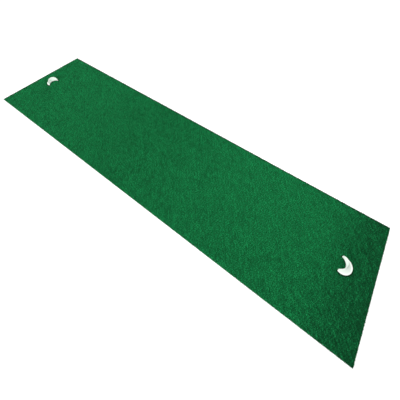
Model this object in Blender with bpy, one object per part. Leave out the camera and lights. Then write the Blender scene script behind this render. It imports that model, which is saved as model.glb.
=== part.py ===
"""Practice putting mat: a flat strip of putting turf with a crescent target cup standing near each end.

The turf is three bonded layers: a rubber backing, a tufting cloth and the pile. Each cup is a hollow moulded
crescent on a thin grip pad. It is loose on the pile, so it lifts straight off.

Frame: the origin is the centre of the underside, +X runs along the mat, +Z is up. Units are metres.
"""

import math

import bmesh
import bpy
import numpy as np

# The strip
MAT_LENGTH = 3.6576
MAT_WIDTH = 0.9144
BACKING_THICKNESS = 0.0015
CLOTH_THICKNESS = 0.0008
PILE_HEIGHT = 0.0060
LAYER_GAP = 0.0003

# Where the cups stand: from their own end of the strip, and across it from the middle line
NEAR_CUP_FROM_END = 0.1990
NEAR_CUP_ACROSS = 0.0125
FAR_CUP_FROM_END = 0.1800
FAR_CUP_ACROSS = 0.0070

# The cup seen from above: a round foot with a round ball pocket bitten out of one side
CUP_RADIUS = 0.0575
CUP_THICKNESS = 0.0440
POCKET_RADIUS = 0.0490
HORN_END_WIDTH = 0.0060

# The cup in section: a leaning pocket wall up to a crest, then a hollow slope down to a thin rim
CUP_HEIGHT = 0.0550
CREST_FALL = 0.40
CREST_LEAN = 0.10
SLOPE_HOLLOWING = 1.8
RIM_THICKNESS = 0.0020
CUP_WALL = 0.0025

# Inside and under the cup
RIB_SPACING = 0.0300
RIB_THICKNESS = 0.0020
PAD_THICKNESS = 0.0015
PAD_INSET = 0.0008
PAD_GAP = 0.0003

# How far the hollow stays out of the horns and the rim, in wall thicknesses
HOLLOW_LEAST_WIDTH = 7
HOLLOW_RIM_MARGIN = 3

# How finely the cup is divided, and how far cutters run past what they cut
STATIONS = 49
HOLLOW_STATIONS = 33
TRIAL_STATIONS = 400
SLOPE_POINTS = 9
SLOPE_CROWDING = 1.3
WALL_STEPS = 21
CUTTER_OVERRUN = 0.0100

# Worked out from the sizes above
CLOTH_BOTTOM = BACKING_THICKNESS + LAYER_GAP
PILE_BOTTOM = CLOTH_BOTTOM + CLOTH_THICKNESS + LAYER_GAP
PILE_TOP = PILE_BOTTOM + PILE_HEIGHT
PAD_BOTTOM = PILE_TOP + LAYER_GAP
CUP_BOTTOM = PAD_BOTTOM + PAD_THICKNESS + PAD_GAP
POCKET_SHIFT = POCKET_RADIUS - (CUP_RADIUS - CUP_THICKNESS)


def clear_scene():
    for obj in list(bpy.data.objects):
        bpy.data.objects.remove(obj, do_unlink=True)


def make_collection(name):
    made = bpy.data.collections.new(name)
    bpy.context.scene.collection.children.link(made)
    return made


def make_material(name, colour, roughness):
    material = bpy.data.materials.new(name)
    material.use_nodes = True
    shader = material.node_tree.nodes["Principled BSDF"]
    shader.inputs["Base Color"].default_value = (*colour, 1.0)
    shader.inputs["Roughness"].default_value = roughness
    shader.inputs["Metallic"].default_value = 0.0
    material.diffuse_color = (*colour, 1.0)
    return material


def settle(obj, name, collection, parent=None):
    """Names a new object, moves it to its collection and gives it its parent."""
    obj.name = name
    obj.data.name = name
    for holder in list(obj.users_collection):
        holder.objects.unlink(obj)
    collection.objects.link(obj)
    obj.parent = parent
    return obj


def make_box(name, low, high, collection, parent=None):
    """A box between two corners, with its origin at its centre."""
    bpy.ops.mesh.primitive_cube_add(size=1)
    box = settle(bpy.context.object, name, collection, parent)
    corners = np.array([vertex.co for vertex in box.data.vertices]) * (np.array(high) - np.array(low))
    box.data.vertices.foreach_set("co", corners.ravel())
    box.location = (np.array(low) + np.array(high)) / 2
    return box


def cut(target, tool):
    """Cuts the tool's shape out of the target and marks the tool as a cutter."""
    boolean = target.modifiers.new(tool.name, "BOOLEAN")
    boolean.operation = "DIFFERENCE"
    boolean.solver = "EXACT"
    boolean.object = tool
    tool.hide_render = True
    tool.display_type = "WIRE"


def crescent_edges(inset, stations):
    """Points along the pocket edge and the outer edge of the crescent, set in, from one horn to the other.

    Each edge is an arc about its own centre. The arcs run between the crossings of the two circles, and the
    stations stop where the crescent is as narrow as the end of a horn.
    """
    pocket = POCKET_RADIUS + inset
    outer = CUP_RADIUS - inset
    crossing = (pocket**2 - outer**2 - POCKET_SHIFT**2) / (2 * POCKET_SHIFT)
    half_chord = math.sqrt(outer**2 - crossing**2)
    outer_angle = math.atan2(half_chord, crossing)
    pocket_angle = math.atan2(half_chord, crossing + POCKET_SHIFT)

    def edges_at(shares):
        shares = np.asarray(shares)[:, None]
        pocket_way = np.hstack([np.cos(shares * pocket_angle), np.sin(shares * pocket_angle)])
        outer_way = np.hstack([np.cos(shares * outer_angle), np.sin(shares * outer_angle)])
        return pocket * pocket_way - [POCKET_SHIFT, 0], outer * outer_way

    trial = np.linspace(1, 0, TRIAL_STATIONS)
    near, far = edges_at(trial)
    horn_share = np.interp(HORN_END_WIDTH, np.linalg.norm(far - near, axis=1), trial)
    return edges_at(np.linspace(-horn_share, horn_share, stations))


def section(width, height):
    """The cup's section, as distances from the pocket edge and heights, from crest to rim.

    The height falls from the crest to the rim as a power of the distance still to go, so the slope is steep
    under the crest and nearly level at the rim.
    """
    share = np.linspace(0, 1, SLOPE_POINTS) ** SLOPE_CROWDING
    across = width * (CREST_LEAN + (1 - CREST_LEAN) * share)
    return across, RIM_THICKNESS + (height - RIM_THICKNESS) * (1 - share) ** SLOPE_HOLLOWING


def hollow_section(width, height):
    """The hollow under the section: at least a wall's thickness inside the pocket wall and the slope."""
    across, up = section(width, height)
    start = CUP_WALL + CREST_LEAN * width
    end = max(start + CUP_WALL, width - HOLLOW_RIM_MARGIN * CUP_WALL)
    places = np.linspace(start, end, SLOPE_POINTS)
    steps = np.linspace(-CUP_WALL, CUP_WALL, WALL_STEPS)
    reach = np.sqrt(CUP_WALL**2 - steps**2)
    roof = np.min(np.interp(places[:, None] + steps, across, up) - reach, axis=1)
    return places, np.maximum(roof, CUP_WALL / 2)


def loft(name, rings, collection, parent):
    """A closed solid through rings of equal length, with a flat face over each end."""
    count = len(rings[0])
    mesh = bpy.data.meshes.new(name)
    bm = bmesh.new()
    made = [[bm.verts.new(point) for point in ring] for ring in rings]
    for first, second in zip(made, made[1:]):
        for i in range(count):
            j = (i + 1) % count
            bm.faces.new((first[i], first[j], second[j], second[i]))
    bm.faces.new(made[0])
    bm.faces.new(made[-1])
    bmesh.ops.triangulate(bm, faces=bm.faces[:])
    bmesh.ops.recalc_face_normals(bm, faces=bm.faces[:])
    bm.to_mesh(mesh)
    bm.free()
    return settle(bpy.data.objects.new(name, mesh), name, collection, parent)


def standing_ring(near, way, across, up, foot_start, foot_height):
    """One section stood up at a station: the slope's points, closed by a straight foot."""
    flat = np.concatenate([[foot_start], across, [across[-1]]])
    heights = np.concatenate([[foot_height], up, [foot_height]])
    plan = near + way * flat[:, None]
    return [tuple(point) for point in np.column_stack([plan, heights])]


def make_crescent(name, collection, parent, hollow=False):
    """The cup's outer shape, or the hollow that is cut out of it from below."""
    near, far = crescent_edges(0, HOLLOW_STATIONS if hollow else STATIONS)
    widths = np.linalg.norm(far - near, axis=1)
    heights = CUP_HEIGHT * (widths / CUP_THICKNESS) ** CREST_FALL
    rings = []
    for start, end, width, height in zip(near, far, widths, heights):
        way = (end - start) / width
        if not hollow:
            rings.append(standing_ring(start, way, *section(width, height), 0, 0))
        elif width > HOLLOW_LEAST_WIDTH * CUP_WALL:
            inside = hollow_section(width, height)
            rings.append(standing_ring(start, way, *inside, CUP_WALL, -CUTTER_OVERRUN))
    return loft(name, rings, collection, parent)


def make_pad(name, collection, parent):
    """A flat crescent a little inside the cup's foot."""
    near, far = crescent_edges(PAD_INSET, STATIONS)
    outline = [*near, *far[::-1]]
    top = [(x, y, -PAD_GAP) for x, y in outline]
    bottom = [(x, y, -PAD_GAP - PAD_THICKNESS) for x, y in outline]
    return loft(name, [bottom, top], collection, parent)


def add_layer(name, bottom, top, material, collection):
    low = (-MAT_LENGTH / 2, -MAT_WIDTH / 2, bottom)
    high = (MAT_LENGTH / 2, MAT_WIDTH / 2, top)
    make_box(name, low, high, collection).data.materials.append(material)


def add_cup(prefix, place, turn, materials, parts, cutters):
    """One cup and its pad. In its own frame the cup's foot is at z = 0 and its pocket opens towards -X."""
    frame = bpy.data.objects.new(f"{prefix}_place", None)
    parts.objects.link(frame)
    frame.location = place
    frame.rotation_euler = (0, 0, turn)

    cup = make_crescent(prefix, parts, frame)
    cup.data.materials.append(materials["cup"])
    hollow = make_crescent(f"{prefix}_hollow", cutters, frame, hollow=True)
    for side, word in ((-1, "right"), (1, "left")):
        middle = side * RIB_SPACING / 2
        low = (-CUP_RADIUS, middle - RIB_THICKNESS / 2, -2 * CUTTER_OVERRUN)
        high = (CUP_RADIUS, middle + RIB_THICKNESS / 2, CUP_HEIGHT)
        cut(hollow, make_box(f"{prefix}_{word}_rib", low, high, cutters, frame))
    cut(cup, hollow)

    pad = make_pad(f"{prefix}_grip_pad", parts, frame)
    pad.data.materials.append(materials["pad"])


def build():
    clear_scene()
    parts = make_collection("practice_putting_mat")
    cutters = make_collection("cutters")
    materials = {
        "pile": make_material("turf pile", (0.012, 0.156, 0.048), 0.95),
        "cloth": make_material("tufting cloth", (0.05, 0.05, 0.045), 0.9),
        "backing": make_material("rubber backing", (0.02, 0.02, 0.02), 0.8),
        "cup": make_material("moulded cup", (0.88, 0.88, 0.87), 0.35),
        "pad": make_material("grip pad", (0.03, 0.03, 0.03), 0.85),
    }
    add_layer("rubber_backing", 0, BACKING_THICKNESS, materials["backing"], parts)
    cloth_top = CLOTH_BOTTOM + CLOTH_THICKNESS
    add_layer("tufting_cloth", CLOTH_BOTTOM, cloth_top, materials["cloth"], parts)
    add_layer("turf_pile", PILE_BOTTOM, PILE_TOP, materials["pile"], parts)

    near = (MAT_LENGTH / 2 - NEAR_CUP_FROM_END, NEAR_CUP_ACROSS, CUP_BOTTOM)
    far = (-MAT_LENGTH / 2 + FAR_CUP_FROM_END, FAR_CUP_ACROSS, CUP_BOTTOM)
    add_cup("near_cup", near, 0, materials, parts, cutters)
    add_cup("far_cup", far, math.pi, materials, parts, cutters)


build()
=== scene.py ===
# %% [markdown]
# # A practice putting mat
# The object is a long strip of putting turf with a white crescent cup standing near each end. The packed
# model gives every place and size. It is loaded first and never moved, and each new piece takes its place
# from the boxes of the solids that it stands for.

import math
from functools import reduce

import bpy
import numpy as np
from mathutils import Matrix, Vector


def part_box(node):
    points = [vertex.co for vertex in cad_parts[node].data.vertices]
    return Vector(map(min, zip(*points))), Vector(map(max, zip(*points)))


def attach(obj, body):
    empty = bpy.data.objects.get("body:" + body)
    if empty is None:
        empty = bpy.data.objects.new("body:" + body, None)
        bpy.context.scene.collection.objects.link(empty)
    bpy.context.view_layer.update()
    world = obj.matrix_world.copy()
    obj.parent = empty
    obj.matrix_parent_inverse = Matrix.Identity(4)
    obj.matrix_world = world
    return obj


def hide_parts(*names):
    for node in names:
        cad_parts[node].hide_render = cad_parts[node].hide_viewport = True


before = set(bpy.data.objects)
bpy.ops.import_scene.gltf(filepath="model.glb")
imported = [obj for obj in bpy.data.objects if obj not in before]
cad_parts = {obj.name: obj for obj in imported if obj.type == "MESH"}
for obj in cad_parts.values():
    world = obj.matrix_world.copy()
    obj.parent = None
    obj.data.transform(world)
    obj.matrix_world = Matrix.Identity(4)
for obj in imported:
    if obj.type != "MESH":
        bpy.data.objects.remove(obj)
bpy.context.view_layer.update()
print("solids:", sorted(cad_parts))

# %% Sizes of the strip, from the frame
pile_low, pile_high = (np.array(corner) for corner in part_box("turf_pile"))
cloth_low, cloth_high = (np.array(corner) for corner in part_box("tufting_cloth"))
rubber_low, rubber_high = (np.array(corner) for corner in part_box("rubber_backing"))
MAT_LENGTH, MAT_WIDTH = (pile_high - pile_low)[:2]
PILE_TOP = pile_high[2]
print(f"strip {MAT_LENGTH:.3f} by {MAT_WIDTH:.3f} m, pile {1000 * (PILE_TOP - pile_low[2]):.1f} mm high")

# %% [markdown]
# ## Camera and light
# A strip this long is looked along from one corner with a wide lens held high, so the near end spreads and
# the far end shrinks. The lens is shifted down a little, which keeps the strip low in the frame. The light
# is that of a small studio: a bright even surround, a large softbox in front, and for each end a small one
# that hangs over the middle and is aimed at the cup. All of them stand on the side that the pockets face, so
# a pocket wall is bright, and the steep slope just behind its crest falls into soft shade.

# %% Camera
CAMERA_PLACE = (1.3069, -0.9992, 2.1205)
CAMERA_HEADING = math.radians(125.199)
CAMERA_TILT = math.radians(-43.392)
CAMERA_LENS = 26.129
CAMERA_SHIFT = (-0.0375, -0.25)
CAMERA_REACH = 100.0

camera = bpy.data.objects.new("camera", bpy.data.cameras.new("camera"))
bpy.context.scene.collection.objects.link(camera)
looking = Vector((
    math.cos(CAMERA_HEADING) * math.cos(CAMERA_TILT),
    math.sin(CAMERA_HEADING) * math.cos(CAMERA_TILT),
    math.sin(CAMERA_TILT),
))
camera.location = CAMERA_PLACE
camera.rotation_euler = looking.to_track_quat("-Z", "Y").to_euler()
camera.data.lens = CAMERA_LENS
camera.data.shift_x, camera.data.shift_y = CAMERA_SHIFT
camera.data.clip_end = CAMERA_REACH
bpy.context.scene.camera = camera
bpy.context.scene.view_settings.view_transform = "Standard"
print("camera at", CAMERA_PLACE)


# %% Lamps and surround
def add_lamp(name, place, aim, size, watts, spread=180):
    """A softbox of two sides that faces a point. A grid narrows its spread, in degrees."""
    lamp = bpy.data.objects.new(name, bpy.data.lights.new(name, "AREA"))
    bpy.context.scene.collection.objects.link(lamp)
    lamp.data.shape = "RECTANGLE"
    lamp.data.size, lamp.data.size_y = size
    lamp.data.energy = watts
    lamp.data.spread = math.radians(spread)
    lamp.visible_camera = False
    lamp.location = place
    lamp.rotation_euler = (Vector(aim) - Vector(place)).to_track_quat("-Z", "Y").to_euler()


SURROUND = 1.0
LAMP_ALONG = 0.75
LAMP_ACROSS = 0.45
LAMP_HEIGHT = 1.3
LAMP_AIM = 1.60
LAMP_SIDES = (0.7, 0.7)
LAMP_SPREAD = 150
FAR_WATTS = 5
NEAR_WATTS = 10
FRONT_PLACE = (0, -3.0, 1.6)
FRONT_SIDES = (2.0, 1.2)
FRONT_WATTS = 80

world = bpy.data.worlds.new("studio")
bpy.context.scene.world = world
world.use_nodes = True
world.node_tree.nodes["Background"].inputs["Color"].default_value = (1, 1, 1, 1)
world.node_tree.nodes["Background"].inputs["Strength"].default_value = SURROUND
for side, word, watts in ((-1, "far", FAR_WATTS), (1, "near", NEAR_WATTS)):
    lamp_place = (side * LAMP_ALONG, LAMP_ACROSS, LAMP_HEIGHT)
    add_lamp(f"{word}_softbox", lamp_place, (side * LAMP_AIM, 0, 0), LAMP_SIDES, watts, LAMP_SPREAD)
add_lamp("front_softbox", FRONT_PLACE, (0, 0, 0), FRONT_SIDES, FRONT_WATTS)
print("three softboxes and an even surround")

# %% [markdown]
# ## Tools for materials
# A material is written as sums. `Wire` wraps one output socket and turns arithmetic into Math nodes, and
# `Finish.node` adds any other node. That keeps each recipe a few lines long, and it reads like the formula
# that it is.


# %% Wires
class Wire:
    """One output socket. Arithmetic on it adds Math nodes to its material."""

    def __init__(self, finish, socket):
        self.finish = finish
        self.socket = socket

    def maths(self, operation, first, second=0.0):
        return self.finish.node("ShaderNodeMath", {"operation": operation}, {0: first, 1: second})

    def __add__(self, other):
        return self.maths("ADD", self, other)

    def __sub__(self, other):
        return self.maths("SUBTRACT", self, other)

    def __rsub__(self, other):
        return self.maths("SUBTRACT", other, self)

    def __mul__(self, other):
        return self.maths("MULTIPLY", self, other)

    def __abs__(self):
        return self.maths("ABSOLUTE", self)

    def top(self, other):
        """The larger of two values."""
        return self.maths("MAXIMUM", self, other)

    __radd__ = __add__
    __rmul__ = __mul__


class Finish:
    """A material with one Principled shader, and the ways to add nodes to it."""

    def __init__(self, name, **constants):
        self.material = bpy.data.materials.new(name)
        self.material.use_nodes = True
        self.tree = self.material.node_tree
        self.shader = self.tree.nodes["Principled BSDF"]
        for socket, value in constants.items():
            self.shader.inputs[socket.replace("_", " ")].default_value = value

    def join(self, socket, value):
        if isinstance(value, Wire):
            self.tree.links.new(value.socket, socket)
        else:
            socket.default_value = value

    def node(self, kind, settings, sockets, output=0):
        """Adds a node: its settings first, a ramp's stops among them, then its sockets' values or links."""
        made = self.tree.nodes.new(kind)
        for name, value in settings.items():
            if name == "stops":
                self.set_stops(made.color_ramp.elements, value)
            else:
                setattr(made, name, value)
        for key, value in sockets.items():
            self.join(made.inputs[key], value)
        return Wire(self, made.outputs[output])

    def set_stops(self, elements, stops):
        while len(elements) < len(stops):
            elements.new(1.0)
        for element, (place, level) in zip(elements, stops):
            element.position = place
            element.color = (level, level, level, 1)

    def place(self):
        """Where the shaded point is on the piece, in metres."""
        return self.node("ShaderNodeTexCoord", {}, {}, "Object")

    def stretched(self, length, turn=0.0):
        """The place turned about Z, for a pattern that is drawn out to a length along its own X."""
        sockets = {"Vector": self.place(), "Scale": (length, 1, 1), "Rotation": (0, 0, turn)}
        return self.node("ShaderNodeMapping", {"vector_type": "TEXTURE"}, sockets)

    def axis(self, name):
        """One coordinate of the place."""
        return self.node("ShaderNodeSeparateXYZ", {}, {"Vector": self.place()}, name)

    def distance(self, point):
        """How far the place is from a point, seen from above."""
        flat = self.node("ShaderNodeVectorMath", {"operation": "MULTIPLY"}, {0: self.place(), 1: (1, 1, 0)})
        sockets = {0: flat, 1: (float(point[0]), float(point[1]), 0)}
        return self.node("ShaderNodeVectorMath", {"operation": "DISTANCE"}, sockets, "Value")

    def noise(self, scale, detail=3.0, roughness=0.5, vector=None):
        """Noise from 0 to 1, in lumps of about 1/scale metres."""
        sockets = {"Vector": vector or self.place(), "Scale": scale, "Detail": detail, "Roughness": roughness}
        return self.node("ShaderNodeTexNoise", {}, sockets, "Fac")

    def ramp(self, value, *stops):
        """Maps a value through grey levels at the given places."""
        return self.node("ShaderNodeValToRGB", {"stops": stops}, {"Fac": value})

    def held(self, value):
        """A value held between 0 and 1."""
        return self.ramp(value, (0.0, 0.0), (1.0, 1.0))

    def mix(self, share, first, second):
        """A colour between two others."""
        sockets = {0: share, 6: colour(first), 7: colour(second)}
        return self.node("ShaderNodeMix", {"data_type": "RGBA"}, sockets, 2)

    def bump(self, height, depth):
        """A normal tilted by a height from 0 to 1, which stands for a depth in metres."""
        return self.node("ShaderNodeBump", {}, {"Height": height, "Distance": depth}, "Normal")

    def set(self, **wires):
        for socket, wire in wires.items():
            self.join(self.shader.inputs[socket.replace("_", " ")], wire)
        return self.material


def colour(value):
    """A colour with its opacity, or a wire left as it is."""
    return value if isinstance(value, Wire) else (*value, 1.0)


print("material tools ready")

# %% [markdown]
# ## Floor
# The floor is plain and nearly white, and glows a little, as a light table does, so that it stays even right
# into the corners. It only gives the strip something to lie on, so it is staged and isn't part of the object.

# %% Floor
FLOOR_SIZE = 60.0
FLOOR_DROP = 0.0002

corners = FLOOR_SIZE / 2 * np.array([(-1, -1, 0), (1, -1, 0), (1, 1, 0), (-1, 1, 0)], float)
corners[:, 2] = rubber_low[2] - FLOOR_DROP
floor_mesh = bpy.data.meshes.new("floor")
floor_mesh.from_pydata(corners.tolist(), [], [(0, 1, 2, 3)])
floor = bpy.data.objects.new("floor", floor_mesh)
bpy.context.scene.collection.objects.link(floor)
plain_white = Finish(
    "floor white",
    Base_Color=(0.93, 0.93, 0.93, 1),
    Roughness=0.9,
    Emission_Color=(1, 1, 1, 1),
    Emission_Strength=0.10,
)
floor_mesh.materials.append(plain_white.material)
print("floor laid")

# %% [markdown]
# ## Tools for meshes
# Every new piece is an array of points worked out by a formula. `loft` closes a stack of rings into one
# solid, as a maker would carry a profile along a path. `add_piece` puts any mesh into the scene.


# %% Meshes from arrays
def add_piece(name, points, face_points, face_sizes, finish, body):
    """Makes a smooth-shaded piece from points, the points of each face in turn and each face's size."""
    mesh = bpy.data.meshes.new(name)
    mesh.vertices.add(len(points))
    mesh.vertices.foreach_set("co", np.asarray(points, np.float32).ravel())
    mesh.loops.add(len(face_points))
    mesh.loops.foreach_set("vertex_index", np.asarray(face_points, np.int32))
    mesh.polygons.add(len(face_sizes))
    starts = np.concatenate([[0], np.cumsum(face_sizes)[:-1]])
    mesh.polygons.foreach_set("loop_start", starts.astype(np.int32))
    mesh.update(calc_edges=True)
    mesh.shade_smooth()
    mesh.materials.append(finish)
    piece = bpy.data.objects.new(name, mesh)
    bpy.context.scene.collection.objects.link(piece)
    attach(piece, body)
    return piece


def add_flat_map(piece):
    """Gives a piece a map seen from straight above: u along X and v along Y, over the piece's own box."""
    mesh = piece.data
    places = np.empty(len(mesh.vertices) * 3, np.float32)
    mesh.vertices.foreach_get("co", places)
    plan = places.reshape(-1, 3)[:, :2]
    low, high = plan.min(axis=0), plan.max(axis=0)
    corner_points = np.empty(len(mesh.loops), np.int32)
    mesh.loops.foreach_get("vertex_index", corner_points)
    flat_map = mesh.uv_layers.new(name="OFBake")
    flat_map.uv.foreach_set("vector", ((plan - low) / (high - low))[corner_points].ravel())


def loft(name, rings, finish, body):
    """A closed solid through rings, shape (stations, points, 3), with a flat face at each end.

    Point j of ring i is joined to point j of ring i + 1 and to point j + 1, round the ring. A ring's points
    run clockwise as seen from the next ring, which turns the faces outwards.
    """
    stations, count = rings.shape[:2]
    i, j = np.meshgrid(np.arange(stations - 1), np.arange(count), indexing="ij")
    after = (j + 1) % count
    square = ((i, j), (i + 1, j), (i + 1, after), (i, after))
    quads = np.stack([ring * count + point for ring, point in square], axis=-1)
    first_end = np.arange(count)
    last_end = (stations - 1) * count + np.arange(count)[::-1]
    face_points = np.concatenate([quads.ravel(), first_end, last_end])
    face_sizes = np.concatenate([np.full(quads.size // 4, 4), [count, count]])
    return add_piece(name, rings.reshape(-1, 3), face_points, face_sizes, finish, body)


print("mesh tools ready")


# %% Smooth random fields
WAVE_COUNT = 10


def waves(x, y, length, seed):
    """A smooth random field of about unit height: a sum of sines in random directions.

    Each sine has its own heading and phase, and a wavelength within a third of the given length.
    """
    draws = np.random.default_rng(seed)
    headings = draws.uniform(0, 2 * np.pi, WAVE_COUNT)
    lengths = length * draws.uniform(0.67, 1.33, WAVE_COUNT)
    phases = draws.uniform(0, 2 * np.pi, WAVE_COUNT)
    total = np.zeros(np.broadcast(x, y).shape)
    for heading, wavelength, phase in zip(headings, lengths, phases):
        along = x * math.cos(heading) + y * math.sin(heading)
        total += np.sin(2 * np.pi * along / wavelength + phase)
    return total * math.sqrt(2 / WAVE_COUNT)


print("random fields ready")

# %% [markdown]
# ## Where the cups stand
# The pile is pressed under each cup and shaded beside it, so the turf has to know the shape of a cup's foot:
# a crescent, which is a circle with another circle bitten out. The solids' boxes give its place and radius.

# %% Plan of the cups
POCKET_RADIUS = 0.0490
CUP_THICKNESS = 0.0440
PRESS_MARGIN = 0.0025


def cup_plan(node, opening):
    """Centre, radius and height of a cup, from its solid's box. opening is -1 or 1, along X."""
    low, high = (np.array(corner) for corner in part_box(node))
    radius = (high[1] - low[1]) / 2
    back = high[0] if opening < 0 else low[0]
    centre = np.array([back + opening * radius, (low[1] + high[1]) / 2, low[2]])
    return {"centre": centre, "radius": radius, "height": high[2] - low[2], "opening": opening}


cups = {"near_cup": cup_plan("near_cup", -1), "far_cup": cup_plan("far_cup", 1)}
CUP_RADIUS = cups["near_cup"]["radius"]
POCKET_SHIFT = POCKET_RADIUS - (CUP_RADIUS - CUP_THICKNESS)
for plan in cups.values():
    plan["pocket"] = plan["centre"] + (plan["opening"] * POCKET_SHIFT, 0, 0)


def under_cup(x, y, margin):
    """True inside a crescent grown by a margin: inside the outer circle and outside the pocket's circle."""
    inside = np.zeros(np.shape(x), bool)
    for plan in cups.values():
        along = (x - plan["centre"][0]) * -plan["opening"]
        across = y - plan["centre"][1]
        in_foot = np.hypot(along, across) < CUP_RADIUS + margin
        in_pocket = np.hypot(along + POCKET_SHIFT, across) < POCKET_RADIUS - margin
        inside |= in_foot & ~in_pocket
    return inside


print({name: plan["centre"].round(4).tolist() for name, plan in cups.items()})

# %% [markdown]
# ## Finish of the yarn
# The pile is dull green nylon tape, dyed in the melt, so the colour runs right through. It varies from tuft
# to tuft, in streaks that follow the nap, and in soft patches where the pile leans another way. Shade is
# painted into it beside a cup, along the two cut sides that face -X and +Y, and over the last few hand's
# breadths at the +X end: the pile is darker there. Close round a cup's foot a still darker ring is painted
# shade, for the little light that reaches it. The colour depends only on the place on the strip, so
# neighbouring yarns share it as they do in a real tuft. The gloss is low and even.

# %% Yarn finish
YARN_DARK = (0.0006, 0.0900, 0.0240)
YARN_LIGHT = (0.0160, 0.4650, 0.1380)
# Painted shade: the roots' colours are darker than the yarn's, for the shade deep in the pile.
ROOT_DARK_SHADED = (0.0008, 0.0380, 0.0110)
ROOT_LIGHT_SHADED = (0.0035, 0.1350, 0.0390)
YARN_SHADED = (0.0003, 0.0240, 0.0075)
TUFT_GRAIN = 230.0
STREAK_GRAIN = 130.0
BROAD_GRAIN = 68.0
PATCH_GRAIN = 5.0
TUFT_SHARE = 0.40
STREAK_SHARE = 0.45
BROAD_SHARE = 0.36
PATCH_SHARE = 0.25
TONE_DROP = 0.25
NAP_HEADING = math.radians(125)
NAP_LENGTH = 3.0
# Painted shade towards the +X end: where it starts, how far it wanders and how deep it is.
END_SHADE_START = 1.45
END_SHADE_WANDER = 0.80
END_SHADE_DEPTH = 0.40

# Painted shade beside the cups and along two cut sides
FOOT_SHADE_REACH = 0.0100
FOOT_SHADE = 0.60
FOOT_RING = 0.85
RING_FULL = 0.70
POCKET_SHARE = 0.30
HORN_LINE = -0.0235
CUT_SHADE_REACH = 0.0140
CUT_SHADE = 0.70
CUT_RING = 0.25


def painted_foot_shade(finish):
    """Two wires of painted shade at the nearest cup's foot: 1 at its outline and inside it, 1 at its outline
    alone.

    Both fall to 0 at the shade's reach from the outline, and sooner in the pocket, where more light falls.
    The outline is the outer circle, less the pocket's circle, and cut off at the ends of the horns.
    """

    def into_foot(plan):
        past_foot = finish.distance(plan["centre"]) - float(CUP_RADIUS)
        in_pocket = (POCKET_RADIUS - finish.distance(plan["pocket"])) * (1 / POCKET_SHARE)
        along = (finish.axis("X") - float(plan["centre"][0])) * float(-plan["opening"])
        return past_foot.top(in_pocket).top(HORN_LINE - along) * (-1 / FOOT_SHADE_REACH)

    inwards = reduce(Wire.top, map(into_foot, cups.values()))
    return finish.held(1 + inwards), finish.ramp(1 - abs(inwards), (0.0, 0.0), (RING_FULL, 1.0))


def painted_cut_shade(finish):
    """Painted shade: from 1 at the cut sides that face -X and +Y to 0 at the shade's reach inside them."""
    from_end = finish.axis("X") + float(MAT_LENGTH / 2)
    from_side = float(MAT_WIDTH / 2) - finish.axis("Y")
    beside = (1 - from_end * (1 / CUT_SHADE_REACH)).top(1 - from_side * (1 / CUT_SHADE_REACH))
    return finish.held(beside)


def yarn_tone_and_shade(finish, foot, cut):
    """Light and dark from 0 to 1: single tufts, streaks of two sizes, and patches a hand or more across.

    The last few hand's breadths at the +X end are darker: painted shade, for the lower light at that end.
    foot and cut are the painted shades beside the cups and along the cut sides.
    """
    nap = finish.stretched(NAP_LENGTH, NAP_HEADING)
    single = finish.noise(TUFT_GRAIN, 2.0)
    streaks = finish.ramp(finish.noise(STREAK_GRAIN, 1.0, vector=nap), (0.30, 0.0), (0.70, 1.0))
    broad = finish.ramp(finish.noise(BROAD_GRAIN, 1.0, vector=nap), (0.30, 0.0), (0.70, 1.0))
    patches = finish.noise(PATCH_GRAIN, 3.0)
    to_end = (finish.axis("X") - END_SHADE_START) * float(1 / (MAT_LENGTH / 2 - END_SHADE_START))
    # Painted shade: darker towards the +X end.
    painted_end_shade = finish.held(to_end + (patches - 0.5) * END_SHADE_WANDER)
    tone = single * TUFT_SHARE + streaks * STREAK_SHARE + broad * BROAD_SHARE + patches * PATCH_SHARE
    return tone - TONE_DROP - painted_end_shade * END_SHADE_DEPTH - foot * FOOT_SHADE - cut * CUT_SHADE


yarn = Finish("pile yarn", Roughness=0.62, Specular_IOR_Level=0.18)
# Painted shade beside the cups: darker pile by each foot, and a darker ring round it.
foot, ring = painted_foot_shade(yarn)
# Painted shade along the two cut sides that face -X and +Y.
cut = painted_cut_shade(yarn)
lit_yarn = yarn.mix(yarn_tone_and_shade(yarn, foot, cut), YARN_DARK, YARN_LIGHT)
# Painted shade: the dark ring round each cup's foot and along two cut sides is mixed in here.
yarn.set(Base_Color=yarn.mix((ring * FOOT_RING).top(cut * CUT_RING), lit_yarn, YARN_SHADED))
print("yarn finish made")

# %% Root finish
STRAND_GRAIN = 650.0
STRAND_LENGTH = 5.0
STRAND_TURNS = (0.5, 2.2)
STRAND_DEPTH = 0.0015
ROOT_TONE_SHARE = 0.50
STRAND_SHARE = 0.60

# The roots carry painted shade: their colours are darker than the yarn's, for the shade deep in the pile.
roots = Finish("pile roots", Roughness=0.9, Specular_IOR_Level=0.1)
# The roots get the same painted shade beside the cups and along two cut sides.
foot, ring = painted_foot_shade(roots)
lying = [roots.stretched(STRAND_LENGTH, turn) for turn in STRAND_TURNS]
strands = reduce(Wire.top, (roots.noise(STRAND_GRAIN, 1.0, vector=vector) for vector in lying))
strands = roots.ramp(strands, (0.45, 0.0), (0.72, 1.0))
tone = yarn_tone_and_shade(roots, foot, painted_cut_shade(roots)) * ROOT_TONE_SHARE + strands * STRAND_SHARE
roots.set(
    Base_Color=roots.mix(ring * FOOT_RING, roots.mix(tone, ROOT_DARK_SHADED, ROOT_LIGHT_SHADED), YARN_SHADED),
    Normal=roots.bump(strands, STRAND_DEPTH),
)
print("root finish made")

# %% [markdown]
# ## The pile's root layer
# Low down, the tufts stand so close that they make one springy layer. It could be left out, but then light
# would pass between the yarns to the cloth. It is a closed sheet here, a rectangular profile carried along
# the strip, with a gently uneven top and cut edges that wander by a fraction of a millimetre.

# %% Sheet builder
QUICK_WANDER = 0.04
SLOW_WANDER = 0.15


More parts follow.
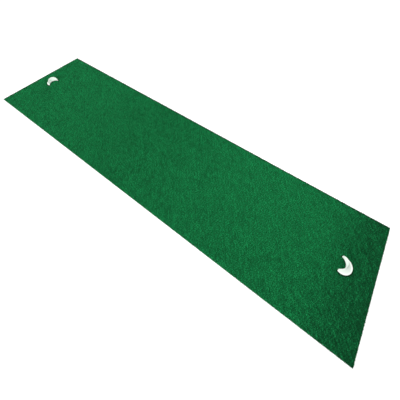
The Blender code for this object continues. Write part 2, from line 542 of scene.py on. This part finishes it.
def sheet_rings(low, high, cell, fine, coarse_height, wander, seed, upwards=True):
    """Rings of a sheet between two plan corners, along X, with one finely divided side and one plain side.

    Seen from the +X end, each ring runs over the top from -Y to +Y and back underneath. fine gives heights
    for arrays of x and y, in square cells. The cut edges stand back by smooth waves of two lengths, up to
    about wander, and the corners follow both.
    """
    x = np.linspace(low[0], high[0], round((high[0] - low[0]) / cell) + 1)[:, None]
    share = np.linspace(0, 1, round((high[1] - low[1]) / cell) + 1)[None, :]
    back_low = waves(x, 0, QUICK_WANDER, seed) + waves(x, 0, SLOW_WANDER, seed + 1)
    back_high = waves(x, 0, QUICK_WANDER, seed + 2) + waves(x, 0, SLOW_WANDER, seed + 3)
    edge_low = low[1] + wander * np.abs(back_low) / 2
    edge_high = high[1] - wander * np.abs(back_high) / 2
    y = edge_low + (edge_high - edge_low) * share
    x = x + np.zeros_like(y)
    x[0] += wander * np.abs(waves(0, y[0], QUICK_WANDER, seed + 4)) / 2
    x[-1] -= wander * np.abs(waves(0, y[-1], QUICK_WANDER, seed + 5)) / 2
    divided = np.stack([x, y, fine(x, y)], axis=-1)
    plain = divided[:, [0, -1]] * (1, 1, 0) + (0, 0, coarse_height)
    if upwards:
        return np.concatenate([divided, plain[:, ::-1]], axis=1)
    return np.concatenate([plain, divided[:, ::-1]], axis=1)


print("sheets are made by the cell")

# %% Root layer
ROOT_HEIGHT = 0.0016
ROOT_UNEVEN = 0.00025
ROOT_LUMP = 0.06
ROOT_CELL = 0.012
CUT_WANDER = 0.0006


def root_top(x, y):
    """Height of the root layer: level, with smooth lumps about as long as ROOT_LUMP."""
    lumps = waves(x, y, ROOT_LUMP, 12)
    return pile_low[2] + ROOT_HEIGHT + ROOT_UNEVEN * lumps


rings = sheet_rings(pile_low, pile_high, ROOT_CELL, root_top, pile_low[2], CUT_WANDER, 20)
turf = loft("turf_roots", rings, roots.material, "mat")
add_flat_map(turf)
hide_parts("turf_pile")
print("root layer:", len(turf.data.polygons), "faces")

# %% [markdown]
# ## The yarns
# Putting turf is tufted in straight rows about 5 mm apart, with a few short tapes in every stitch. Each yarn
# is a real ribbon with a bend in the middle and a pointed tip: one square face and one triangle. All of the
# ribbons of a strip are worked out together as arrays. Under each cup the pile is pressed, so its yarns
# lie over and stay below the grip pad.

# %% Yarn shapes
STRIPS = 8
ROW_SPACING = 0.0048
STITCH_SPACING = 0.0040
YARNS_PER_TUFT = 3
YARN_WIDTH = 0.0018
YARN_REACH = 0.0034
TUFT_SCATTER = 0.4
SWIRL = 0.016


def tuft_places(x_low, x_high, draws):
    """Plan places of the tufts between two x values, in rows along X, each moved a little at random."""
    columns = max(1, round((x_high - x_low) / STITCH_SPACING))
    rows = round(MAT_WIDTH / ROW_SPACING)
    x, y = np.meshgrid(np.arange(columns) + 0.5, np.arange(rows) + 0.5, indexing="ij")
    x = x_low + (x + draws.uniform(-TUFT_SCATTER, TUFT_SCATTER, x.shape)) * (x_high - x_low) / columns
    y = pile_low[1] + (y + draws.uniform(-TUFT_SCATTER, TUFT_SCATTER, y.shape)) * MAT_WIDTH / rows
    return x.ravel(), y.ravel()


print("a yarn is", YARN_WIDTH * 1000, "mm wide")

# %% Ribbons
HEADING_SCATTER = 0.7
TWIST_MOST = 0.9
SWIRL_HOLD = 0.35
REACH_RANGE = (0.35, 1.5)
WIDTH_RANGE = (0.7, 1.25)
TIP_SCATTER = 0.00045
TIP_RANGE = (-0.0016, 0.0009)
BEND_RISE = 1.3 / 2.3
BEND_REACH = 1 / 3
BEND_WIDTH = 0.9
PRESSED_TOP = 0.0005
PRESSED_SPREAD = 0.0015
PRESSED_REACH = 1.5


def ribbons(x, y, draws, reach=YARN_REACH, lean=None, tips=None):
    """Points of bent ribbons that stand at x and y, shape (yarns, 5, 3): root, bend and tip.

    The root and the bend have two points each, across the width. A yarn's middle line leaves its root
    nearly upright and bends over: a little above half its height it has gone a third of its reach. Its
    faces look up and outwards, because its width runs across its lean. Yarns near each other lean alike,
    in swirls as wide as a thumb. Under a cup they lie lower and reach further. lean and tips, where they
    are given, say which way the yarns lean and how high their tips are.
    """
    count = len(x)
    swirl = np.arctan2(waves(x, y, SWIRL, 81), waves(x, y, SWIRL, 82))
    heading = swirl + draws.normal(0, HEADING_SCATTER, count)
    twist = draws.uniform(-TWIST_MOST, TWIST_MOST, count)
    lean_x, lean_y = np.cos(heading), np.sin(heading)
    if lean is not None:
        lean_x, lean_y = lean_x * SWIRL_HOLD + lean[0], lean_y * SWIRL_HOLD + lean[1]
    far = reach * draws.uniform(*REACH_RANGE, count)
    half_width = YARN_WIDTH * draws.uniform(*WIDTH_RANGE, count) / 2
    root_z = pile_low[2] + ROOT_HEIGHT - 2 * ROOT_UNEVEN
    top_z = PILE_TOP + draws.normal(0, TIP_SCATTER, count).clip(*TIP_RANGE)
    pressed = under_cup(x, y, PRESS_MARGIN)
    pressed_z = PILE_TOP - PRESSED_TOP - draws.uniform(0, PRESSED_SPREAD, count)
    top_z = np.where(pressed, pressed_z, top_z)
    bend_z = root_z + (top_z - root_z) * BEND_RISE
    top_z = top_z if tips is None else tips
    far = np.where(pressed, far * PRESSED_REACH, far)
    across_x = -lean_y * np.cos(twist) + lean_x * np.sin(twist)
    across_y = lean_x * np.cos(twist) + lean_y * np.sin(twist)
    side = np.stack([across_x, across_y, np.zeros(count)], axis=-1) * half_width[:, None]
    root = np.stack([x, y, np.full(count, root_z)], axis=-1)
    bend_x, bend_y = x + lean_x * far * BEND_REACH, y + lean_y * far * BEND_REACH
    bend = np.stack([bend_x, bend_y, bend_z], axis=-1)
    tip = np.stack([x + lean_x * far, y + lean_y * far, top_z], axis=-1)
    bend_side = side * BEND_WIDTH
    return np.stack([root - side, root + side, bend + bend_side, bend - bend_side, tip], axis=1)


def add_yarns(name, points):
    """One piece from ribbons: a square face and a triangle each."""
    first = 5 * np.arange(len(points))[:, None]
    face_points = (first + np.array([0, 1, 2, 3, 3, 2, 4])).ravel()
    face_sizes = np.tile([4, 3], len(points))
    points = points.reshape(-1, 3)
    piece = add_piece(name, points, face_points, face_sizes, yarn.material, "mat")
    add_flat_map(piece)
    return piece


print("a yarn bends at", round(BEND_RISE, 2), "of its height")

# %% Tufted field
TUFT_RADIUS = 0.0009
FIELD_SEED = 100

strip_ends = np.linspace(pile_low[0], pile_high[0], STRIPS + 1)
for number, (x_low, x_high) in enumerate(zip(strip_ends[:-1], strip_ends[1:]), start=1):
    draws = np.random.default_rng(FIELD_SEED + number)
    x, y = tuft_places(x_low, x_high, draws)
    x, y = (np.repeat(places, YARNS_PER_TUFT) for places in (x, y))
    x = x + draws.uniform(-TUFT_RADIUS, TUFT_RADIUS, len(x))
    y = y + draws.uniform(-TUFT_RADIUS, TUFT_RADIUS, len(y))
    add_yarns(f"pile_yarns_{number}", ribbons(x, y, draws))

# %% Yarns along the cut edges
EDGE_SPACING = 0.0010
EDGE_REACH = 0.0024
EDGE_INSET = (0.0002, 0.0020)
EDGE_LOWEST = 0.0005
EDGE_DROOP = 1.3
EDGE_SEED = 7


def edge_yarns(draws):
    """Yarns along the four cut edges. Nothing holds them up on that side, so they droop over the cut."""
    groups = []
    for axis in (0, 1):
        for side, corner in ((-1, pile_low), (1, pile_high)):
            length = (MAT_WIDTH, MAT_LENGTH)[axis]
            along = draws.uniform(-length / 2, length / 2, round(length / EDGE_SPACING))
            inset = corner[axis] - side * draws.uniform(*EDGE_INSET, len(along))
            x, y = (inset, along) if axis == 0 else (along, inset)
            lean = (side, 0) if axis == 0 else (0, side)
            rise = draws.uniform(0, 1, len(along)) ** EDGE_DROOP
            tips = EDGE_LOWEST + (PILE_TOP - EDGE_LOWEST) * rise
            groups.append(ribbons(x, y, draws, EDGE_REACH, lean, tips))
    return np.concatenate(groups)


edge = add_yarns("cut_edge_yarns", edge_yarns(np.random.default_rng(EDGE_SEED)))
print("cut edges:", len(edge.data.polygons), "faces")

# %% [markdown]
# ## Cloth and backing
# The yarns are stitched through a woven cloth, and a layer of rubber behind it locks them and grips the
# floor. Only their cut edges show from above, and the rubber's underside shows when the strip is turned
# over. The cloth is woven of flat tapes, made here by two crossed wave patterns. The rubber's underside is
# a real relief of shallow waffle cells, because that is what grips.

# %% Cloth finish
TAPE_WIDTH = 0.0022
CLOTH_DARK = (0.016, 0.016, 0.014)
CLOTH_LIGHT = (0.080, 0.078, 0.070)
TAPE_DEPTH = 0.0004

cloth = Finish("woven tapes", Roughness=0.75, Specular_IOR_Level=0.3)


def tapes(finish, turn):
    """Rounded tapes side by side, from 0 in a gap to 1 at a tape's middle."""
    turned = finish.stretched(1, turn)
    sockets = {"Vector": turned, "Scale": 0.5 / TAPE_WIDTH, "Distortion": 0.3}
    return finish.node("ShaderNodeTexWave", {"bands_direction": "X"}, sockets, "Fac")


weave = tapes(cloth, 0.0) * tapes(cloth, math.pi / 2)
cloth.set(
    Base_Color=cloth.mix(weave * 0.7 + cloth.noise(25.0) * 0.3, CLOTH_DARK, CLOTH_LIGHT),
    Normal=cloth.bump(weave, TAPE_DEPTH),
)
print("cloth finish made")

# %% Rubber finish
RUBBER_DARK = (0.010, 0.010, 0.010)
RUBBER_LIGHT = (0.035, 0.035, 0.033)
SPECKLE_DEPTH = 0.0002

rubber = Finish("rubber backing", Specular_IOR_Level=0.4)
speckle = rubber.noise(900.0, 2.0)
dust = rubber.noise(9.0, 4.0, 0.6)
rubber.set(
    Base_Color=rubber.mix(speckle * 0.45 + dust * 0.55, RUBBER_DARK, RUBBER_LIGHT),
    Roughness=dust * 0.3 + 0.6,
    Normal=rubber.bump(speckle, SPECKLE_DEPTH),
)
print("rubber finish made")

# %% Cloth and rubber sheets
CELL = 0.0392
CELL_DEPTH = 0.0005
CELL_STEPS = 6
CLOTH_CELL = 0.018
CLOTH_UNEVEN = 0.0001
CLOTH_LUMP = 0.02


def cloth_top(x, y):
    """Height of the cloth's top: level, rising and falling a little between the stitches."""
    return cloth_high[2] - CLOTH_UNEVEN + CLOTH_UNEVEN * waves(x, y, CLOTH_LUMP, 31).clip(-1, 1)


def rubber_underside(x, y):
    """Height of the waffle: a web at floor level, and in each cell a shallow dome that clears the floor."""
    dome = np.abs(np.sin(np.pi * x / CELL) * np.sin(np.pi * y / CELL))
    return rubber_low[2] + CELL_DEPTH * np.sqrt(dome)


rings = sheet_rings(cloth_low, cloth_high, CLOTH_CELL, cloth_top, cloth_low[2], 2 * CUT_WANDER, 40)
weave_sheet = loft("tufting_cloth_weave", rings, cloth.material, "mat")
step = CELL / CELL_STEPS
rings = sheet_rings(
    rubber_low, rubber_high, step, rubber_underside, rubber_high[2], CUT_WANDER, 60, upwards=False
)
backing = loft("rubber_backing_waffle", rings, rubber.material, "mat")
layers = ((weave_sheet, "tufting_cloth", ["rubber_backing_waffle"]), (backing, "rubber_backing", []))
for sheet, node, under in layers:
    add_flat_map(sheet)
    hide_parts(node)
print("cloth and rubber sheets made")

# %% [markdown]
# ## The cups
# Each cup is one white moulding, a crescent that stands round the ball's pocket. Seen from above its edges
# are arcs of two circles. In section a leaning wall rises from the pocket to a crest, and behind it a
# hollow slope runs down to a thin rim. A sculpted mesh would lose those arcs, so the cup is a loft: the
# section is worked out at every station round the crescent, and it shrinks towards the horns.

# %% Shape of a cup
HORN_END_WIDTH = 0.0060
HORN_ROUNDING = 0.0035
CREST_FALL = 0.40
CREST_LEAN = 0.10
SLOPE_HOLLOWING = 1.8
RIM_THICKNESS = 0.0020
CUP_STATIONS = 201
TRIAL_STATIONS = 400
HORN_BLUNTNESS = 0.97


def crescent_edges(inset, stations):
    """Points along the pocket edge and the outer edge of the crescent, from one horn to the other.

    Each edge is an arc about its own centre. Both arcs start from the crossings of the two circles, and
    the stations stop where the crescent is as narrow as the end of a horn. They crowd towards both horns,
    as the sine of an even spread, because the shape changes fastest there.
    """
    pocket = POCKET_RADIUS + inset
    outer = CUP_RADIUS - inset
    crossing = (pocket**2 - outer**2 - POCKET_SHIFT**2) / (2 * POCKET_SHIFT)
    half_chord = math.sqrt(outer**2 - crossing**2)
    outer_angle = math.atan2(half_chord, crossing)
    pocket_angle = math.atan2(half_chord, crossing + POCKET_SHIFT)

    def edges_at(shares):
        shares = np.asarray(shares)[:, None]
        pocket_way = np.hstack([np.cos(shares * pocket_angle), np.sin(shares * pocket_angle)])
        outer_way = np.hstack([np.cos(shares * outer_angle), np.sin(shares * outer_angle)])
        return pocket * pocket_way - [POCKET_SHIFT, 0], outer * outer_way

    trial = np.linspace(1, 0, TRIAL_STATIONS)
    near, far = edges_at(trial)
    horn_share = np.interp(HORN_END_WIDTH, np.linalg.norm(far - near, axis=1), trial)
    near, far = edges_at(horn_share * np.sin(np.linspace(-1, 1, stations) * math.pi / 2))
    return round_horns(near, far)


def round_horns(near, far):
    """Narrows the last stations to half-round ends: the width times sqrt(1 - u^2), u from 0 to nearly 1."""
    middle = (near + far) / 2
    walked = np.concatenate([[0], np.cumsum(np.linalg.norm(np.diff(middle, axis=0), axis=1))])
    to_end = np.minimum(walked, walked[-1] - walked)
    u = (1 - to_end / HORN_ROUNDING).clip(0, HORN_BLUNTNESS)
    half = (far - near) / 2 * np.sqrt(1 - u**2)[:, None]
    return middle - half, middle + half


def slope_height(share, height):
    """Height of the back slope at a share of its width: a power of the distance still to go."""
    return RIM_THICKNESS + (height - RIM_THICKNESS) * (1 - share.clip(0, 1)) ** SLOPE_HOLLOWING


def corner_curve(start, corner, end, points=7):
    """A rounded corner, (1-t)^2 start + 2t(1-t) corner + t^2 end, for arrays of shape (stations, 2)."""
    t = np.linspace(0, 1, points)[None, :, None]
    start, corner, end = start[:, None], corner[:, None], end[:, None]
    return (1 - t) ** 2 * start + 2 * t * (1 - t) * corner + t**2 * end


print("cup radius", round(CUP_RADIUS, 4), "pocket shift", round(POCKET_SHIFT, 5))

# %% Section of a cup
CREST_ROUNDING = 0.0016
FOOT_ROUNDING = 0.0006
RIM_ROUNDING = 0.0010
WALL_POINTS = 16
BACK_POINTS = 30
BACK_CROWDING = 1.2


def outer_section(width, height):
    """The section's outside, from the pocket's foot over the crest to the rim's foot.

    Returns distances from the pocket edge and heights, shape (stations, points, 2), for arrays of widths
    and heights of shape (stations,).
    """
    zero = np.zeros_like(width)
    crest = np.stack([CREST_LEAN * width, height], axis=-1)
    foot = np.stack([zero, zero], axis=-1)
    up_wall = crest - foot
    up_wall /= np.linalg.norm(up_wall, axis=1, keepdims=True)
    rounding = np.minimum(CREST_ROUNDING, width / 5)  # a narrow horn has a sharper crest
    first_share = rounding / height
    run = 1 - CREST_LEAN

    def on_slope(share):
        across = width[:, None] * (CREST_LEAN + run * share)
        return np.stack([across, slope_height(share, height[:, None])], axis=-1)

    wall_end = crest - up_wall * (1.2 * rounding)[:, None]
    wall = foot[:, None] + FOOT_ROUNDING * up_wall[:, None]
    wall = wall + (wall_end[:, None] - wall) * np.linspace(0, 1, WALL_POINTS)[None, :, None]
    last_share = 1 - RIM_ROUNDING / width / run
    spread = np.linspace(0, 1, BACK_POINTS) ** BACK_CROWDING
    back = on_slope(first_share[:, None] + (last_share - first_share)[:, None] * spread)
    rim = np.stack([width, zero + RIM_THICKNESS], axis=-1)
    rim_foot = np.stack([width, zero], axis=-1)
    inwards, upwards = np.array([-FOOT_ROUNDING, 0]), np.array([0, FOOT_ROUNDING])
    return np.concatenate([
        corner_curve(foot - inwards, foot, wall[:, 0], 4)[:, :-1],
        wall,
        corner_curve(wall_end, crest, back[:, 0])[:, 1:-1],
        back,
        corner_curve(back[:, -1], rim, rim - 1.5 * upwards, 5)[:, 1:],
        corner_curve(rim_foot + upwards, rim_foot, rim_foot + inwards, 4),
    ], axis=1)


print("the crest is rounded by", CREST_ROUNDING * 1000, "mm")

# %% Hollow of a cup
CUP_WALL = 0.0025
HOLLOW_POINTS = 14
ROLL_STEPS = 15
HOLLOW_LEAST_WIDTH = 7 * CUP_WALL
HOLLOW_RIM_MARGIN = 3 * CUP_WALL
ROOF_LOWEST = 0.0012
FOOT_STEP = 0.0004


def inner_section(width, height):
    """The hollow's inside, from the rim side back to the pocket side: a wall's thickness inside the outside.

    The roof is the lowest point of a disc, as big as the wall is thick, that rolls along the slope above it.
    It sinks to the foot where the horns are too narrow to be hollow.
    """
    steps = np.linspace(-CUP_WALL, CUP_WALL, ROLL_STEPS)
    start = CUP_WALL + CREST_LEAN * width
    end = np.maximum(start + FOOT_STEP, width - HOLLOW_RIM_MARGIN)
    solid = width < HOLLOW_LEAST_WIDTH
    start = np.where(solid, 0.4 * width, start)
    end = np.where(solid, 0.6 * width, end)
    across = end[:, None] + (start - end)[:, None] * np.linspace(0, 1, HOLLOW_POINTS)
    share = (across[..., None] + steps) / width[:, None, None]
    share = (share - CREST_LEAN) / (1 - CREST_LEAN)
    roof = (slope_height(share, height[:, None, None]) - np.sqrt(CUP_WALL**2 - steps**2)).min(axis=-1)
    sink = ((width - HOLLOW_LEAST_WIDTH) / HOLLOW_RIM_MARGIN).clip(0, 1)[:, None]
    roof = np.maximum(roof, ROOF_LOWEST) * sink
    inside = np.stack([across, roof], axis=-1)
    foot = np.stack([np.where(solid, 0.3 * width, CUP_WALL), np.zeros_like(width)], axis=-1)
    rim_foot = np.stack([np.where(solid, 0.7 * width, end + FOOT_STEP), np.zeros_like(width)], axis=-1)
    return np.concatenate([rim_foot[:, None], inside, foot[:, None]], axis=1)


def stand_up(near, far, section, plan, base):
    """Carries a section round the crescent: its distances run from the near edge to the far one in plan."""
    way = (far - near) / np.linalg.norm(far - near, axis=1, keepdims=True)
    flat = near[:, None] + way[:, None] * section[..., :1]
    flat = flat * -plan["opening"] + plan["centre"][:2]
    rings = np.concatenate([flat, base + section[..., 1:]], axis=-1)
    return rings[:, ::-1]


near_edge, far_edge = crescent_edges(0, CUP_STATIONS)
widths = np.linalg.norm(far_edge - near_edge, axis=1)
CUP_HEIGHT = cups["near_cup"]["height"]
heights = CUP_HEIGHT * (widths / CUP_THICKNESS) ** CREST_FALL
print("crest from", (heights.min() * 1000).round(1), "to", (heights.max() * 1000).round(1), "mm")

# %% [markdown]
# ## Finish of the cups
# The cups are white plastic from a satin mould. A flat white would look like paper, so it has the faint
# clouding of a thick moulding, a fine spark-eroded grain, rubbed patches that shine more, and a little
# green dust near the foot, where it has stood on the pile. The white and the clouding carry a painted green
# tint, for light bounced up from the pile. The steep fold behind the crest is painted greyer: painted shade,
# where less light finds its way in.

# %% Colours of a cup
# The white and the clouding carry a painted green tint: light bounced up from the pile.
CUP_WHITE_GREEN_BOUNCE = (0.855, 0.925, 0.860)
CUP_CLOUD_GREEN_BOUNCE = (0.755, 0.840, 0.765)
CUP_DUST = (0.47, 0.55, 0.45)
DUST_HEIGHT = 0.0040
# Painted shade in the steep fold behind the crest.
FOLD_SHADE_GREY = (0.330, 0.390, 0.340)
FOLD_OUT = 0.0085
FOLD_REACH = 0.0060
FOLD_LENGTH = 0.0340
FOLD_FULL = 0.60
FOLD_SHADE_SHARE = 0.65


def painted_crest_shade(finish):
    """Painted shade: 1 along the steep fold behind a crest, which has its middle a fixed way outside the
    pocket's circle.

    It fades across the fold, and along it towards the horns.
    """

    def fold(plan):
        fold_radius = POCKET_RADIUS + FOLD_OUT
        across = 1 - abs(finish.distance(plan["pocket"]) - fold_radius) * (1 / FOLD_REACH)
        middle = plan["pocket"] - (plan["opening"] * fold_radius, 0, 0)
        along = 1 - finish.distance(middle) * (1 / FOLD_LENGTH)
        return finish.held(across) * finish.ramp(along, (0.0, 0.0), (FOLD_FULL, 1.0))

    return reduce(Wire.top, map(fold, cups.values()))


print("the fold is", round(2000 * FOLD_REACH), "mm wide")

# %% Cup finish, put together
MOULD_GRAIN_DEPTH = 0.00008

moulded = Finish("moulded cup", Specular_IOR_Level=0.5, IOR=1.49)
clouding = moulded.noise(28.0, 3.0)
rubbed = moulded.ramp(moulded.noise(55.0, 5.0, 0.65), (0.45, 0.0), (0.62, 1.0))
grain = moulded.noise(1600.0, 2.0)
lift = moulded.axis("Z") - float(cups["near_cup"]["centre"][2])
foot_dust = moulded.ramp(lift * (1 / DUST_HEIGHT), (0.0, 1.0), (1.0, 0.0)) * moulded.noise(180.0, 3.0) * 0.7
# The cup's white, with its painted green bounce light.
clean = moulded.mix(clouding * 0.6, CUP_WHITE_GREEN_BOUNCE, CUP_CLOUD_GREEN_BOUNCE)
# Painted shade in the fold behind the crest.
clean = moulded.mix(painted_crest_shade(moulded) * FOLD_SHADE_SHARE, clean, FOLD_SHADE_GREY)
moulded.set(
    Base_Color=moulded.mix(foot_dust, clean, CUP_DUST),
    Roughness=0.42 - rubbed * 0.14 + foot_dust * 0.3,
    Normal=moulded.bump(grain + rubbed * 0.15, MOULD_GRAIN_DEPTH),
)
print("cup finish made")

# %% [markdown]
# ## Grip pads
# A soft rubber pad closes each cup's foot. It follows the same crescent a little further in, with a ribbed
# underside that bites into the pile.

# %% Pads
PAD_INSET = 0.0008
PAD_RIB = 0.0028
PAD_RIB_DEPTH = 0.0004
PAD_POINTS = 72
PAD_TOP_STRIDE = 6
PAD_EDGE_DROP = 0.0004
PAD_EDGE_REACH = 0.0003
PAD_SPECKLE_DEPTH = 0.0001
PAD_DARK = (0.018, 0.018, 0.018)
PAD_LIGHT = (0.045, 0.045, 0.042)

pad_rubber = Finish("grip pad rubber", Specular_IOR_Level=0.35)
pad_speckle = pad_rubber.noise(1200.0, 2.0)
pad_rubber.set(
    Base_Color=pad_rubber.mix(pad_speckle, PAD_DARK, PAD_LIGHT),
    Roughness=pad_speckle * 0.2 + 0.7,
    Normal=pad_rubber.bump(pad_speckle, PAD_SPECKLE_DEPTH),
)


def pad_section(width, thickness):
    """A flat bar's section: rounded edges, and below it rounded ribs a fixed distance apart.

    A rib is half a unit less half a cosine. An edge is drawn in by a drop that fades with exp(-distance).
    """
    share = np.linspace(0, 1, PAD_POINTS)
    across = width[:, None] * share
    edge = np.minimum(across, width[:, None] - across)
    ribs = PAD_RIB_DEPTH * (0.5 - 0.5 * np.cos(2 * np.pi * across / PAD_RIB))
    drop = PAD_EDGE_DROP * np.exp(-edge / PAD_EDGE_REACH)
    below = ribs + drop
    over = thickness - drop
    top = np.stack([across, over], axis=-1)
    bottom = np.stack([across, below], axis=-1)
    return np.concatenate([top[:, ::PAD_TOP_STRIDE], bottom[:, ::-1]], axis=1)


print("pad finish made")

# %% Put the cups and pads in
pad_near, pad_far = crescent_edges(PAD_INSET, CUP_STATIONS)
pad_widths = np.linalg.norm(pad_far - pad_near, axis=1)
for name, plan in cups.items():
    section = np.concatenate([outer_section(widths, heights), inner_section(widths, heights)], axis=1)
    rings = stand_up(near_edge, far_edge, section, plan, plan["centre"][2])
    cup = loft(f"{name}_moulding", rings, moulded.material, name)
    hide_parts(name)
    pad_low, pad_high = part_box(f"{name}_grip_pad")
    section = pad_section(pad_widths, pad_high[2] - pad_low[2])
    rings = stand_up(pad_near, pad_far, section, plan, pad_low[2])
    pad = loft(f"{name}_ribbed_pad", rings, pad_rubber.material, name)
    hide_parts(f"{name}_grip_pad")
    print(name, len(cup.data.polygons), "faces, pad", len(pad.data.polygons))
